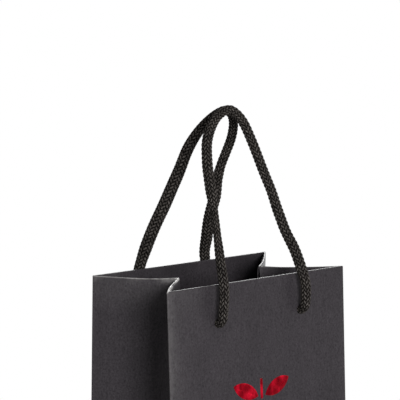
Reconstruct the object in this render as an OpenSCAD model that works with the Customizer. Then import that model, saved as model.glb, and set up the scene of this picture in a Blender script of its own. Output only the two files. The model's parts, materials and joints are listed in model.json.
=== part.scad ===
/* [Bag] */
// Width of the front and rear panels
bag_w = 120; // [100:1:160]
// Depth of the base, which is also the full depth of a gusset
bag_d = 90; // [80:1:120]
// Length of a panel from the base to the rim
bag_h = 360; // [300:1:420]
// Depth of the mouth at rest, drawn in by the handles
mouth_d = 63; // [52:1:76]

/* [Paper] */
// Thickness of the paper
paper_t = 0.4; // [0.3:0.05:0.5]
// Outside radius of a folded edge
fold_r = 0.5; // [0.45:0.05:0.8]
// Depth of the hem that is turned in at the rim
hem_d = 40; // [30:1:60]
// Thickness of the card that stiffens the rim
card_t = 0.8; // [0.5:0.1:1.2]
// Width of the glued seam tab
seam_w = 16; // [10:1:24]
// Length of the front and rear base flaps
long_flap = 62; // [50:1:75]
// Length of the side base flaps
side_flap = 44; // [30:1:48]
// Thickness of the loose base card
base_card_t = 0.8; // [0.6:0.1:1.5]

/* [Handles] */
// Diameter of the braided rope
rope_d = 5.2; // [4:0.1:6.5]
// Distance between the two rope holes of a panel
hole_pitch = 56; // [45:1:70]
// Distance of the rope holes below the rim
hole_drop = 19.5; // [15:0.5:28]
// Diameter of the knot behind a rope hole
knot_d = 11; // [9:0.5:13]
// Length of rope left below a knot
tail_l = 13; // [9:1:20]

/* [Emblem] */
// Distance of the foil emblem's top below the rim
emblem_drop = 52; // [48:1:90]
// Distance between the middles of two berries
berry_pitch = 8.4; // [7:0.1:10]
// Diameter of a berry
berry_d = 7.4; // [5:0.1:7.4]
// Length of a leaf
leaf_l = 18; // [14:0.5:24]
// Width of a leaf
leaf_w = 8; // [5:0.5:10]
// Length of the stem
stem_l = 9; // [6:0.5:14]
// Width of the stem
stem_w = 1.6; // [1:0.1:2.5]
// Thickness of the foil
foil_t = 0.1; // [0.05:0.05:0.2]

/* [Clearances] */
// Gap between a folded edge and the sheet that turns about it
fold_gap = 0.3; // [0.2:0.05:0.4]
// Room for the gusset's edge beside its inner crease
crease_gap = 1.4; // [1.4:0.1:2]
// Room for the side triangle's edge beside the gusset
side_gap = 0.4; // [0.3:0.1:0.8]
// Distance that inner layers keep from a corner fold
corner_inset = 5; // [4.5:0.5:8]
// Distance that base pieces keep from the ends of a base fold
base_inset = 1.5; // [1.2:0.1:2.5]
// Distance that the base card keeps from the sides of the bag
card_inset = 2; // [1.8:0.1:4]
// Radial clearance of a rope in its hole
rope_clear = 0.2; // [0.1:0.05:0.4]
// Gap between a rope and the panel outside its hole
rope_gap = 1; // [0.8:0.1:2]
// Gap between a knot and the hem that it bears on
knot_gap = 0.1; // [0.05:0.05:0.3]
// Gap between a handle and the rope end that it turns about
swing_gap = 0.9; // [0.7:0.1:1]

/* [Hidden] */
$fn = 48;

PAPER = "#4b464a";
INNER_PAPER = "#3a373a";
CARD = "#8c8378";
ROPE = "#1c1b1a";
FOIL = "#b0101f";

// Fold lines: every sheet turns about the middle of a folded edge
half_w = bag_w / 2 - fold_r;
half_d = bag_d / 2 - fold_r;
panel_l = bag_h - fold_r;

// Angles at rest: panels lean in, gussets fold in, side triangles follow them
lean = asin((half_d + paper_t / 2 - mouth_d / 2) / panel_l);
fold = acos((half_d - panel_l * sin(lean)) / (half_d * cos(lean)));
side_lean = asin(half_d * sin(fold) / panel_l);

// The rim: paper, card and turned-in hem lie on each other under a round edge
panel_stack = 2 * paper_t + card_t;
panel_rim_r = panel_stack / 2;
panel_top = panel_l - panel_rim_r;
gusset_rim_r = paper_t;
gusset_top = panel_l - gusset_rim_r;
rim_z = fold_r + panel_l * cos(lean);

// A gusset half is a slender triangle from the base corner to the inner crease
gusset_slope = half_d / panel_l;
gusset_in = fold_r + fold_gap;

// Half width of a side triangle's blunt top
SIDE_TIP = 0.5;

// Ropes
rope_r = rope_d / 2;
hole_z = panel_l - hole_drop;
pivot_out = paper_t / 2 + rope_gap + rope_r;

// The rope swells a little where it bends upward out of its hole
bend_r = rope_r + rope_clear / 2;
bend_w = rope_r + rope_clear;
knot_in = panel_stack - paper_t / 2 + knot_gap + knot_d / 2;

// Routes of the handles from hole to hole: place along the panel, distance
// outward from the rim's outside, height above the rim
FRONT_ROUTE = [
    [-28.5, 6, -10.5], [-28, 6, -2.5], [-27, 3, 6.5], [-25.5, -0.5, 14.5], [-24, -4, 24.5],
    [-22.5, -8, 35], [-21, -12, 45], [-20, -16, 55], [-18.5, -19, 63], [-16.5, -21.5, 69.5],
    [-12.5, -24, 75.5], [-7.5, -26, 80.5], [-2, -27.5, 83.5], [3.5, -28, 85], [8, -27, 82.5],
    [11, -25, 78], [12.5, -22, 71.5], [14.5, -19, 63], [16.5, -15.5, 53], [18.5, -11.5, 43],
    [20, -7, 32], [22, -3.5, 22.5], [25, 0.5, 12.5], [26.5, 3.5, 4.5], [27, 6, -3.5],
    [27.5, 6, -10.5]
];
REAR_ROUTE = [
    [-26.5, 7, -12.5], [-24.5, 8, -4.5], [-23, 7, 2.5], [-22, 3, 12.5], [-20, -1.5, 23.5],
    [-18, -6, 33], [-15, -10, 44], [-12.5, -14, 54], [-10.5, -18, 64], [-8, -22, 71.5],
    [-4, -25, 77.5], [1, -27.5, 82], [6.5, -28.5, 84], [11.5, -27.5, 82], [15.5, -25, 76.5],
    [17.5, -21, 68.5], [17.5, -17, 61], [16.5, -13, 52], [17, -9, 42], [17, -5, 32],
    [17.5, -1, 22.5], [19.5, 3.5, 11.5], [21.5, 7, 2.5], [23.5, 8, -4.5], [26, 7, -12.5]
];
ROPE_SIDES = 10;

// Emblem: rows of berries, and the angle at which the leaves rise
BERRY_ROWS = 4;
LEAF_RISE = 24;

// Places pieces of the front: along the panel, inward, up the panel
module on_front() {
    translate([0, -half_d, fold_r]) rotate([-lean, 0, 0]) children();
}

// Swaps front and rear
module on_rear() {
    mirror([0, 1, 0]) on_front() children();
}

// Places the left front gusset: inward, across the gusset, up its corner fold
module on_gusset(right, rear) {
    mirror([right ? 1 : 0, 0, 0])
        mirror([0, rear ? 1 : 0, 0])
            translate([-half_w, -half_d, fold_r])
                rotate([-lean, 0, 0])
                    rotate([0, 0, -fold])
                        children();
}

// Places the left side triangle: inward, along the base, up the side
module on_side(right) {
    mirror([right ? 1 : 0, 0, 0])
        translate([-half_w, 0, fold_r]) rotate([0, side_lean, 0]) children();
}

// A sheet drawn across and up, with its thickness inward from a given depth
module standing_sheet(depth, thickness) {
    translate([0, depth, 0])
        rotate([90, 0, 0]) mirror([0, 0, 1]) linear_extrude(thickness) children();
}

// The same for a sheet that faces sideways
module side_sheet(depth, thickness) {
    translate([depth, 0, 0]) rotate([90, 0, 90]) linear_extrude(thickness) children();
}

module rope_holes() {
    for (x = [-hole_pitch / 2, hole_pitch / 2]) translate([x, hole_z]) circle(rope_r + rope_clear);
}

module strip(half_length, low, high) {
    translate([-half_length, low]) square([2 * half_length, high - low]);
}

// Upper half of a round edge that runs along X, with a foot inside the hem below it
module round_rim(half_length, radius) {
    intersection() {
        rotate([0, 90, 0]) cylinder(h = 2 * half_length, r = radius, center = true);
        union() {
            translate([-half_length, -radius, 0]) cube([2 * half_length, 2 * radius, radius]);
            translate([-half_length, radius - paper_t, -paper_t / 2])
                cube([2 * half_length, paper_t, radius]);
        }
    }
}

module panel() {
    color(PAPER) {
        standing_sheet(-paper_t / 2, paper_t)
            difference() {
                strip(half_w, gusset_in, panel_top);
                rope_holes();
            }
        for (x = [-half_w, half_w])
            translate([x, 0, gusset_in]) cylinder(h = panel_top - gusset_in, r = fold_r);
    }
}

module rim_card() {
    color(CARD)
        standing_sheet(paper_t / 2, card_t)
            difference() {
                strip(half_w - corner_inset, panel_l - hem_d, panel_top);
                rope_holes();
            }
}

module panel_hem() {
    color(INNER_PAPER) {
        standing_sheet(paper_t / 2 + card_t, paper_t)
            difference() {
                strip(half_w - corner_inset, panel_l - hem_d, panel_top);
                rope_holes();
            }
        translate([0, panel_rim_r - paper_t / 2, panel_top])
            round_rim(half_w - corner_inset, panel_rim_r);
    }
}

// Rope end: the bend outside the panel, the length in the hole, the knot and its tail
module knot(x) {
    color(ROPE)
        translate([x, 0, hole_z]) {
            translate([0, -pivot_out, 0]) {
                rotate([0, 90, 0]) cylinder(h = bend_w, r = bend_r, center = true);
                rotate([-90, 0, 0]) cylinder(h = pivot_out + knot_in, r = rope_r);
            }
            translate([0, knot_in, 0]) {
                sphere(d = knot_d);
                translate([0, 0, -tail_l]) cylinder(h = tail_l, r = rope_r);
            }
        }
}

module seam_strip() {
    color(PAPER)
        standing_sheet(paper_t / 2, paper_t)
            translate([-half_w + corner_inset, corner_inset])
                square([seam_w, panel_l - hem_d - 2 * corner_inset]);
}

// Two arcs that meet in a point at each end
module leaf() {
    leaf_r = (leaf_l * leaf_l + leaf_w * leaf_w) / (4 * leaf_w);
    intersection_for (side = [-1, 1])
        translate([leaf_l / 2, side * (leaf_r - leaf_w / 2)]) circle(leaf_r, $fn = 96);
}

// A bunch of berries under two leaves and a stem, drawn from its top edge down
module bunch() {
    first_row = -stem_l - stem_w - (leaf_w + berry_d) / 2;
    for (row = [0 : BERRY_ROWS - 1])
        for (i = [0 : BERRY_ROWS - 1 - row])
            translate([
                (i - (BERRY_ROWS - 1 - row) / 2) * berry_pitch,
                first_row - row * berry_pitch * sin(60)
            ]) circle(d = berry_d);
    for (m = [0, 1])
        mirror([m, 0]) translate([1.5 * stem_w, -stem_l]) rotate(LEAF_RISE) leaf();
    translate([-stem_w / 2, -stem_l - stem_w]) square([stem_w, stem_l + stem_w]);
}

module gusset() {
    color(PAPER)
        side_sheet(-paper_t / 2, paper_t)
            polygon([
                [gusset_in, (gusset_in + crease_gap) / gusset_slope],
                [gusset_in, gusset_top],
                [gusset_slope * gusset_top - crease_gap, gusset_top]
            ]);
}

module gusset_hem() {
    low = panel_l - hem_d;
    tip = gusset_slope * gusset_top - crease_gap;
    rim_end = tip - paper_t;
    color(INNER_PAPER) {
        side_sheet(paper_t / 2, paper_t)
            polygon([
                [corner_inset, low],
                [corner_inset, gusset_top],
                [tip, gusset_top],
                [gusset_slope * low - crease_gap, low]
            ]);
        translate([paper_t / 2, (corner_inset + rim_end) / 2, gusset_top])
            rotate([0, 0, -90]) round_rim((rim_end - corner_inset) / 2, gusset_rim_r);
    }
}

module side_triangle() {
    foot = half_d - base_inset;
    edge = [
        [foot, gusset_in],
        [foot, panel_l * (1 - (foot + side_gap) / half_d)],
        [SIDE_TIP, panel_l * (1 - (SIDE_TIP + side_gap) / half_d)]
    ];
    color(PAPER)
        side_sheet(-paper_t / 2, paper_t)
            polygon(concat([for (p = edge) [-p[0], p[1]]], [for (i = [2 : -1 : 0]) edge[i]]));
}

// A front or rear flap with the rounded fold at its outer edge
module long_base_flap(layer) {
    half_l = half_w - base_inset;
    color(PAPER) {
        translate([-half_l, -half_d, layer * paper_t]) cube([2 * half_l, long_flap, paper_t]);
        translate([0, -half_d, fold_r])
            rotate([0, 90, 0]) cylinder(h = 2 * half_l, r = fold_r, center = true);
    }
}

module side_base_flap() {
    half_l = half_d - base_inset;
    color(PAPER) {
        translate([-half_w, -half_l, 2 * paper_t]) cube([side_flap, 2 * half_l, paper_t]);
        translate([-half_w, 0, fold_r])
            rotate([90, 0, 0]) cylinder(h = 2 * half_l, r = fold_r, center = true);
    }
}

function unit(v) = v / norm(v);

// A point of the front panel's frame as it stands at rest
function front_point(p) = [
    p[0],
    p[1] * cos(lean) + p[2] * sin(lean) - half_d,
    p[2] * cos(lean) - p[1] * sin(lean) + fold_r
];

// The route stops short of the two rope ends that the handle turns about
function rope_path(route) =
    let (
        points = [for (p = route) [p[0], -mouth_d / 2 - p[1], rim_z + p[2]]],
        last = len(points) - 1,
        left = front_point([-hole_pitch / 2, -pivot_out, hole_z]),
        right = front_point([hole_pitch / 2, -pivot_out, hole_z]),
        short = rope_r + swing_gap
    )
    concat(
        [left + short * unit(points[0] - left)],
        points,
        [right + short * unit(points[last] - right)]
    );

function rope_ring(path, i) =
    let (
        along = unit(path[min(i + 1, len(path) - 1)] - path[max(i - 1, 0)]),
        across = unit(cross(along, [0, 1, 0])),
        out = cross(along, across)
    )
    [
        for (k = [0 : ROPE_SIDES - 1])
            let (turn = 360 * k / ROPE_SIDES)
            path[i] + rope_r * (cos(turn) * across + sin(turn) * out)
    ];

module rope_tube(path) {
    n = ROPE_SIDES;
    last = len(path) - 1;
    points = [for (i = [0 : last]) each rope_ring(path, i)];
    walls = [
        for (i = [0 : last - 1])
            for (k = [0 : n - 1])
                let (a = i * n + k, b = i * n + (k + 1) % n)
                each [[a, b, b + n], [a, b + n, a + n]]
    ];
    caps = [
        for (k = [1 : n - 2])
            each [[0, k + 1, k], [last * n, last * n + k, last * n + k + 1]]
    ];
    color(ROPE) polyhedron(points, concat(walls, caps));
}

module base_front_flap() { long_base_flap(0); }
module base_rear_flap() { mirror([0, 1, 0]) long_base_flap(1); }
module base_left_flap() { side_base_flap(); }
module base_right_flap() { mirror([1, 0, 0]) side_base_flap(); }

module base_card() {
    half_x = half_w - card_inset;
    half_y = half_d - card_inset;
    color(CARD)
        translate([-half_x, -half_y, 3 * paper_t]) cube([2 * half_x, 2 * half_y, base_card_t]);
}

module front_panel() { on_front() panel(); }
module front_card() { on_front() rim_card(); }
module front_hem() { on_front() panel_hem(); }

module foil_emblem() {
    color(FOIL)
        on_front()
            standing_sheet(-paper_t / 2 - foil_t, foil_t)
                translate([0, panel_l - emblem_drop]) bunch();
}

module front_left_knot() { on_front() knot(-hole_pitch / 2); }
module front_right_knot() { on_front() knot(hole_pitch / 2); }

module rear_panel() { on_rear() panel(); }
module rear_card() { on_rear() rim_card(); }
module rear_hem() { on_rear() panel_hem(); }
module seam_tab() { on_rear() seam_strip(); }
module rear_left_knot() { on_rear() knot(-hole_pitch / 2); }
module rear_right_knot() { on_rear() knot(hole_pitch / 2); }

module left_side_triangle() { on_side(false) side_triangle(); }
module right_side_triangle() { on_side(true) side_triangle(); }

module left_front_gusset() { on_gusset(false, false) gusset(); }
module right_front_gusset() { on_gusset(true, false) gusset(); }
module left_rear_gusset() { on_gusset(false, true) gusset(); }
module right_rear_gusset() { on_gusset(true, true) gusset(); }

module left_front_gusset_hem() { on_gusset(false, false) gusset_hem(); }
module right_front_gusset_hem() { on_gusset(true, false) gusset_hem(); }
module left_rear_gusset_hem() { on_gusset(false, true) gusset_hem(); }
module right_rear_gusset_hem() { on_gusset(true, true) gusset_hem(); }

module front_handle_rope() { rope_tube(rope_path(FRONT_ROUTE)); }
module rear_handle_rope() { mirror([0, 1, 0]) rope_tube(rope_path(REAR_ROUTE)); }

base_front_flap();
base_rear_flap();
base_left_flap();
base_right_flap();
base_card();
front_panel();
front_card();
front_hem();
foil_emblem();
front_left_knot();
front_right_knot();
rear_panel();
rear_card();
rear_hem();
seam_tab();
rear_left_knot();
rear_right_knot();
left_side_triangle();
right_side_triangle();
left_front_gusset();
right_front_gusset();
left_rear_gusset();
right_rear_gusset();
left_front_gusset_hem();
right_front_gusset_hem();
left_rear_gusset_hem();
right_rear_gusset_hem();
front_handle_rope();
rear_handle_rope();
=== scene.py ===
import json
import math

import bmesh
import bpy
from mathutils import Matrix, Vector, noise


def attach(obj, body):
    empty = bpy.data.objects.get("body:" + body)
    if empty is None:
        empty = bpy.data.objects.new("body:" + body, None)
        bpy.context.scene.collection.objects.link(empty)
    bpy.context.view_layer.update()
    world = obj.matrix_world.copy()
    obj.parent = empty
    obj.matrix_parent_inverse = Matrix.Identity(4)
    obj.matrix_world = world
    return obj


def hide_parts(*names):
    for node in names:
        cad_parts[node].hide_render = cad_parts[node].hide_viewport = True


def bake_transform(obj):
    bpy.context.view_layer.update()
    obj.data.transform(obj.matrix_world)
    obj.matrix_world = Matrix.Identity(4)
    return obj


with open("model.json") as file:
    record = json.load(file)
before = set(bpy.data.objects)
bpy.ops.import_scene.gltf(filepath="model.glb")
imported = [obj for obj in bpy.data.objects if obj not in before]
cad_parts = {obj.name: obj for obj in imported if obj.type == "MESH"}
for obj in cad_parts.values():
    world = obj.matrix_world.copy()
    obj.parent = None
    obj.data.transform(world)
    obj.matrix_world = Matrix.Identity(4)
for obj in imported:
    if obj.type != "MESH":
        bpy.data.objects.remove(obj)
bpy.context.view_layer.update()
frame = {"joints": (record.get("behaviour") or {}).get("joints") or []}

# A tall paper bag for one bottle, with folded sides, a turned-in rim and rope handles
MM = 0.001

# Sizes in metres, where the frame doesn't give them
PANEL_L = 0.3595  # length of a panel up its slope
HEM_D = 0.040  # depth of the turned-in hems
PAPER_T = 0.0004  # thickness of the paper
HEM_GAP = 0.00042  # from the middle of a sheet to the middle of its hem
CARD_GAP = 0.0012  # the same, where a card lies between them
CARD_T = 0.0007  # thickness of the card
CARD_INSET = 0.005  # from a corner fold to the card
ROPE_D = 0.0052  # thickness of the ropes
HOLE_PITCH = 0.056  # between the two holes of a panel
HOLE_DROP = 0.0195  # from the rim down to the holes
HOLE_R = 0.0022  # radius of the holes
HOLE_PINCH = 0.2  # share of its radius that a rope loses in its hole
MOUTH_D = 0.063  # between the panels at the rim
FOLD_RUN = 0.0014  # how far the rounding of a corner fold reaches
SOFT_R = 0.008  # how far the soft bend of an inner crease reaches

# Fold lines of the bag, from the joints that turn about them
joints = {joint["name"]: joint for joint in frame["joints"]}
HALF_D = -joints["front_panel_tilt"]["pos_m"][1]
FOLD_Z = joints["front_panel_tilt"]["pos_m"][2]
HALF_W = -joints["left_side_tilt"]["pos_m"][0]
UP = Vector(joints["left_front_gusset_fold"]["axis"])
INWARD = Vector((0, UP.z, -UP.y))
ALONG = Vector((1, 0, 0))
FOLD = math.acos((HALF_D - PANEL_L * UP.y) / (HALF_D * UP.z))
ACROSS = math.sin(FOLD) * ALONG + math.cos(FOLD) * INWARD
CORNER = Vector((-HALF_W, -HALF_D, FOLD_Z))
HOLE_V = PANEL_L - HOLE_DROP

# The four corners: on the right or not, at the rear or not
CORNERS = {
    "left_front": (False, False), "left_rear": (False, True),
    "right_front": (True, False), "right_rear": (True, True),
}


def smoothstep(low, high, value):
    t = min(1.0, max(0.0, (value - low) / (high - low)))
    return t * t * (3 - 2 * t)


def spread(low, high, steps):
    """Evenly spaced values with both ends."""
    return [low + (high - low) * i / steps for i in range(steps + 1)]


def bezier(a, b, c, t):
    return a * (1 - t) ** 2 + b * (2 * t * (1 - t)) + c * t**2


def mirrored(point, right, rear):
    """A point of the left front corner, as seen at one of the other corners."""
    return Vector((-point.x if right else point.x, -point.y if rear else point.y, point.z))


def on_panel(u, w, v, rear=False):
    """A point along, inward of and up the front or rear panel's middle sheet."""
    point = Vector((0, -HALF_D, FOLD_Z)) + ALONG * u + INWARD * w + UP * v
    return mirrored(point, False, rear)


# Meshes, with the angles in degrees above which their edges are sharp
SHEET_SHARP = 50
ROPE_SHARP = 170
BOARD_SHARP = 30
FOIL_SHARP = 60


def add_mesh(name, verts, faces, material, slot, sharp=SHEET_SHARP):
    """A closed mesh with its edges sharp above an angle in degrees."""
    mesh = bpy.data.meshes.new(name)
    mesh.from_pydata([tuple(v) for v in verts], [], faces)
    mesh.materials.append(material)
    finish_mesh(mesh, sharp)
    obj = bpy.data.objects.new(name, mesh)
    bpy.context.collection.objects.link(obj)
    return obj


def finish_mesh(mesh, sharp):
    bm = bmesh.new()
    bm.from_mesh(mesh)
    bmesh.ops.recalc_face_normals(bm, faces=bm.faces)
    for face in bm.faces:
        face.smooth = True
    for edge in bm.edges:
        edge.smooth = edge.calc_face_angle(0) < math.radians(sharp)
    bm.to_mesh(mesh)
    bm.free()


def sheet_mesh(grid, thickness):
    """Vertices and faces of a closed sheet about a grid of middle points."""
    rows = len(grid)
    cols = len(grid[0])
    verts = []
    for side in (1, -1):
        for i in range(rows):
            for j in range(cols):
                up = grid[min(i + 1, rows - 1)][j] - grid[max(i - 1, 0)][j]
                across = grid[i][min(j + 1, cols - 1)] - grid[i][max(j - 1, 0)]
                normal = across.cross(up).normalized()
                verts.append(grid[i][j] + normal * (side * thickness / 2))
    under = rows * cols
    faces = []
    for i in range(rows - 1):
        for j in range(cols - 1):
            a = i * cols + j
            quad = (a, a + 1, a + cols + 1, a + cols)
            faces.append(quad)
            faces.append(tuple(k + under for k in reversed(quad)))
    border = list(range(cols))
    border += [i * cols + cols - 1 for i in range(1, rows)]
    border += [(rows - 1) * cols + j for j in range(cols - 2, -1, -1)]
    border += [i * cols for i in range(rows - 2, 0, -1)]
    for a, b in zip(border, border[1:] + border[:1]):
        faces.append((a, a + under, b + under, b))
    return verts, faces


# How far the gusset halves bow out, and how far their rims dip
GUSSET_BOW = {
    "left_front": 1.4 * MM, "left_rear": 0.5 * MM, "right_front": 0.6 * MM, "right_rear": 0.8 * MM,
}
RIM_DIP = {
    "left_front": 0.4 * MM, "left_rear": 0.4 * MM, "right_front": 0.4 * MM, "right_rear": 0.3 * MM,
}
GUSSET_OUT = INWARD * math.sin(FOLD) - ALONG * math.cos(FOLD)


# Paler paper along folds and rims, as wear and as painted highlight: how far each reaches, and its
# strength
# Corner folds: partly wear, partly painted highlight
FOLD_WEAR_AND_HIGHLIGHT = [(2.0 * MM, 0.006), (11.0 * MM, 0.001)]
# Inner creases and base folds: wear
CREASE_WEAR = (2.0 * MM, 0.045)
BASE_WEAR = (1.2 * MM, 0.22)
# Front rim: painted highlight
FRONT_RIM_HIGHLIGHT = (0.7 * MM, 0.015)
# Gusset rims: painted highlight, strongest as a painted sheen on the left front half
GUSSET_RIM_HIGHLIGHT = {
    "left_front": (0.9 * MM, 0.65), "left_rear": (0.9 * MM, 0.36),
    "right_front": (0.9 * MM, 0.2), "right_rear": (0.9 * MM, 0.2),
}
# Left gussets: painted light, fading down from their rims
LEFT_RIM_LIGHT = (22.0 * MM, 0.023)

# The corner with the most painted highlight: its fold, the top of its fold, and a painted sheen along
# its gusset's rim and the rim's tip
LIT_CORNER = "left_front"
LIT_FOLD_HIGHLIGHT = [(2.0 * MM, 0.075), (11.0 * MM, 0.030), (26.0 * MM, 0.008)]
LIT_TOP_HIGHLIGHT = (7.0 * MM, 0.055)
LIT_RIM_SHEEN = (2.0 * MM, 1.5)
LIT_TIP_SHEEN = (1.2 * MM, 1.3)
LIT_TOP_START = 0.87
LIT_RIM_START = 0.08
LIT_TIP_START = 0.55

# Share of its reach within which a line's mark is at full strength
MARK_CORE = 0.25


def fold_lines():
    """Lines of wear and of painted highlight, each as its two ends, reach and strength."""
    lines = []
    top = CORNER + UP * PANEL_L
    crease = top + ACROSS * HALF_D
    for name, (right, rear) in CORNERS.items():
        low, high, inner = (mirrored(p, right, rear) for p in (CORNER, top, crease))
        worn_and_lit = name == LIT_CORNER
        for wear_and_highlight in LIT_FOLD_HIGHLIGHT if worn_and_lit else FOLD_WEAR_AND_HIGHLIGHT:
            lines.append((low, high, *wear_and_highlight))
        lines.append((low, inner, *CREASE_WEAR))
        if name == "left_rear":
            # This painted rim highlight follows the rim where it bows and dips
            sag = mirrored(GUSSET_OUT * GUSSET_BOW[name] - UP * RIM_DIP[name], right, rear)
            middle = high.lerp(inner, 0.5) + sag
            lines.append((high, middle, *GUSSET_RIM_HIGHLIGHT[name]))
            lines.append((middle, inner, *GUSSET_RIM_HIGHLIGHT[name]))
        else:
            lines.append((high, inner, *GUSSET_RIM_HIGHLIGHT[name]))
        if not right:
            lines.append((high, inner, *LEFT_RIM_LIGHT))
        if worn_and_lit:
            lines.append((low.lerp(high, LIT_TOP_START), high, *LIT_TOP_HIGHLIGHT))
            middle = high.lerp(inner, LIT_TIP_START)
            lines.append((high.lerp(inner, LIT_RIM_START), middle, *LIT_RIM_SHEEN))
            lines.append((middle, inner, *LIT_TIP_SHEEN))
    lines.append((top, mirrored(top, True, False), *FRONT_RIM_HIGHLIGHT))
    for far in (False, True):
        lines.append((mirrored(CORNER, False, far), mirrored(CORNER, True, far), *BASE_WEAR))
        lines.append((mirrored(CORNER, far, False), mirrored(CORNER, far, True), *BASE_WEAR))
    return lines


FOLD_LINES = fold_lines()


def wear_and_highlight_at(point):
    most = 0.0
    for a, b, reach, strength in FOLD_LINES:
        run = b - a
        t = min(1.0, max(0.0, (point - a).dot(run) / run.length_squared))
        gap = (point - a - run * t).length
        most = max(most, strength * (1 - smoothstep(MARK_CORE, 1.0, gap / reach)))
    return most


# Stores each point's wear and painted highlight
def set_wear_and_highlight(obj):
    layer = obj.data.attributes.new("wear_and_highlight", "FLOAT", "POINT")
    layer.data.foreach_set("value", [wear_and_highlight_at(v.co) for v in obj.data.vertices])


# Materials: their colours, their gloss and how deep their grain is
DARK_PAPER = (0.022, 0.0195, 0.022)
PALE_PAPER = (0.052, 0.0465, 0.052)
# Pale colour for wear and for painted highlight and painted sheen
WEAR_AND_HIGHLIGHT_PAPER = (0.80, 0.775, 0.755)
PAPER_GLOSS = 0.055
PAPER_GRAIN = 0.012 * MM
DARK_BOARD = (0.20, 0.18, 0.155)
PALE_BOARD = (0.34, 0.31, 0.27)
BOARD_SPECK = (0.10, 0.09, 0.085)
BOARD_GRAIN = 0.06 * MM
# Rope colours by strand height: painted shade deep in the grooves, painted highlight on the crowns
GROOVE_SHADE_ROPE = (0.0008, 0.0007, 0.0006)
DARK_ROPE = (0.0045, 0.0039, 0.0035)
CROWN_HIGHLIGHT_ROPE = (0.0715, 0.0645, 0.0590)
ROPE_GLOSS = 0.02
ROPE_GRAIN = 0.10 * MM
# Foil colours, from dark to bright red: painted reflection
DARK_FOIL = (0.09, 0.0007, 0.003)
RED_FOIL = (0.20, 0.0016, 0.007)
BRIGHT_FOIL = (0.50, 0.0054, 0.021)
FOIL_GRAIN = 0.03 * MM


def shader(name):
    material = bpy.data.materials.new(name)
    material.use_nodes = True
    return material, material.node_tree, material.node_tree.nodes["Principled BSDF"]


def add_node(tree, kind, inputs=None, **settings):
    """A node with its settings, and its inputs set to values or linked to sockets."""
    node = tree.nodes.new(kind)
    for key, value in settings.items():
        setattr(node, key, value)
    for key, value in (inputs or {}).items():
        if isinstance(value, bpy.types.NodeSocket):
            tree.links.new(value, node.inputs[key])
        else:
            node.inputs[key].default_value = value
    return node


def grain(tree, scale, detail=3.0, rough=0.55):
    """Noise in the object's own space, with its grains per metre along each axis."""
    coords = add_node(tree, "ShaderNodeTexCoord").outputs["Object"]
    mapped = add_node(tree, "ShaderNodeMapping", {"Vector": coords, "Scale": scale})
    inputs = {"Vector": mapped.outputs[0], "Scale": 1.0, "Detail": detail, "Roughness": rough}
    return add_node(tree, "ShaderNodeTexNoise", inputs).outputs[0]


def ramp(tree, factor, *stops):
    """A colour ramp through positions and grey or coloured stops."""
    node = add_node(tree, "ShaderNodeValToRGB", {"Fac": factor})
    elements = node.color_ramp.elements
    while len(elements) < len(stops):
        elements.new(0.5)
    for element, (place, colour) in zip(elements, stops):
        element.position = place
        element.color = (*colour, 1) if isinstance(colour, tuple) else (colour, colour, colour, 1)
    return node.outputs[0]


def mix(tree, factor, a, b, blend="MIX"):
    node = add_node(tree, "ShaderNodeMix", data_type="RGBA", blend_type=blend)
    for socket, value in ((node.inputs[0], factor), (node.inputs[6], a), (node.inputs[7], b)):
        if isinstance(value, bpy.types.NodeSocket):
            tree.links.new(value, socket)
        else:
            socket.default_value = (*value, 1) if isinstance(value, tuple) else value
    return node.outputs[2]


def bump(tree, height, distance, strength=1.0):
    inputs = {"Height": height, "Distance": distance, "Strength": strength}
    return add_node(tree, "ShaderNodeBump", inputs).outputs[0]


def attribute(tree, name):
    return add_node(tree, "ShaderNodeAttribute", attribute_name=name).outputs["Fac"]


def paper_material():
    material, tree, surface = shader("charcoal_paper")
    tooth = grain(tree, (1100, 1100, 900), 4.0, 0.75)
    fibres = grain(tree, (1500, 1500, 150), 3.0, 0.6)
    clouds = grain(tree, (70, 70, 40), 3.0)
    tone = ramp(tree, tooth, (0.28, DARK_PAPER), (0.72, PALE_PAPER))
    streak = ramp(tree, fibres, (0.25, 0.86), (0.75, 1.14))
    tone = mix(tree, 1.0, tone, streak, "MULTIPLY")
    cloud = ramp(tree, clouds, (0.25, 0.90), (0.75, 1.10))
    tone = mix(tree, 1.0, tone, cloud, "MULTIPLY")
    # Paler paper where the wear and the painted highlight reach, broken up by noise
    wear_and_highlight_breakup = ramp(tree, grain(tree, (420, 420, 420), 3.0), (0.25, 0.35), (0.70, 1.0))
    worn_and_lit = mix(tree, 1.0, attribute(tree, "wear_and_highlight"), wear_and_highlight_breakup, "MULTIPLY")
    tone = mix(tree, worn_and_lit, tone, WEAR_AND_HIGHLIGHT_PAPER)
    tree.links.new(tone, surface.inputs["Base Color"])
    tree.links.new(ramp(tree, tooth, (0.3, 0.25), (0.7, 0.37)), surface.inputs["Roughness"])
    surface.inputs["Specular IOR Level"].default_value = PAPER_GLOSS
    tree.links.new(bump(tree, tooth, PAPER_GRAIN, 0.5), surface.inputs["Normal"])
    return material


def card_material():
    material, tree, surface = shader("grey_board")
    pulp = grain(tree, (600, 600, 600), 5.0, 0.7)
    clouds = grain(tree, (60, 60, 60), 2.0)
    tone = ramp(tree, pulp, (0.30, DARK_BOARD), (0.72, PALE_BOARD))
    tone = mix(tree, 1.0, tone, ramp(tree, clouds, (0.3, 0.9), (0.7, 1.08)), "MULTIPLY")
    specks = ramp(tree, grain(tree, (1100, 1100, 1100), 1.0), (0.70, 0.0), (0.76, 0.7))
    tone = mix(tree, specks, tone, BOARD_SPECK)
    tree.links.new(tone, surface.inputs["Base Color"])
    tree.links.new(ramp(tree, pulp, (0.3, 0.75), (0.7, 0.9)), surface.inputs["Roughness"])
    tree.links.new(bump(tree, pulp, BOARD_GRAIN, 0.6), surface.inputs["Normal"])
    return material


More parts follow.
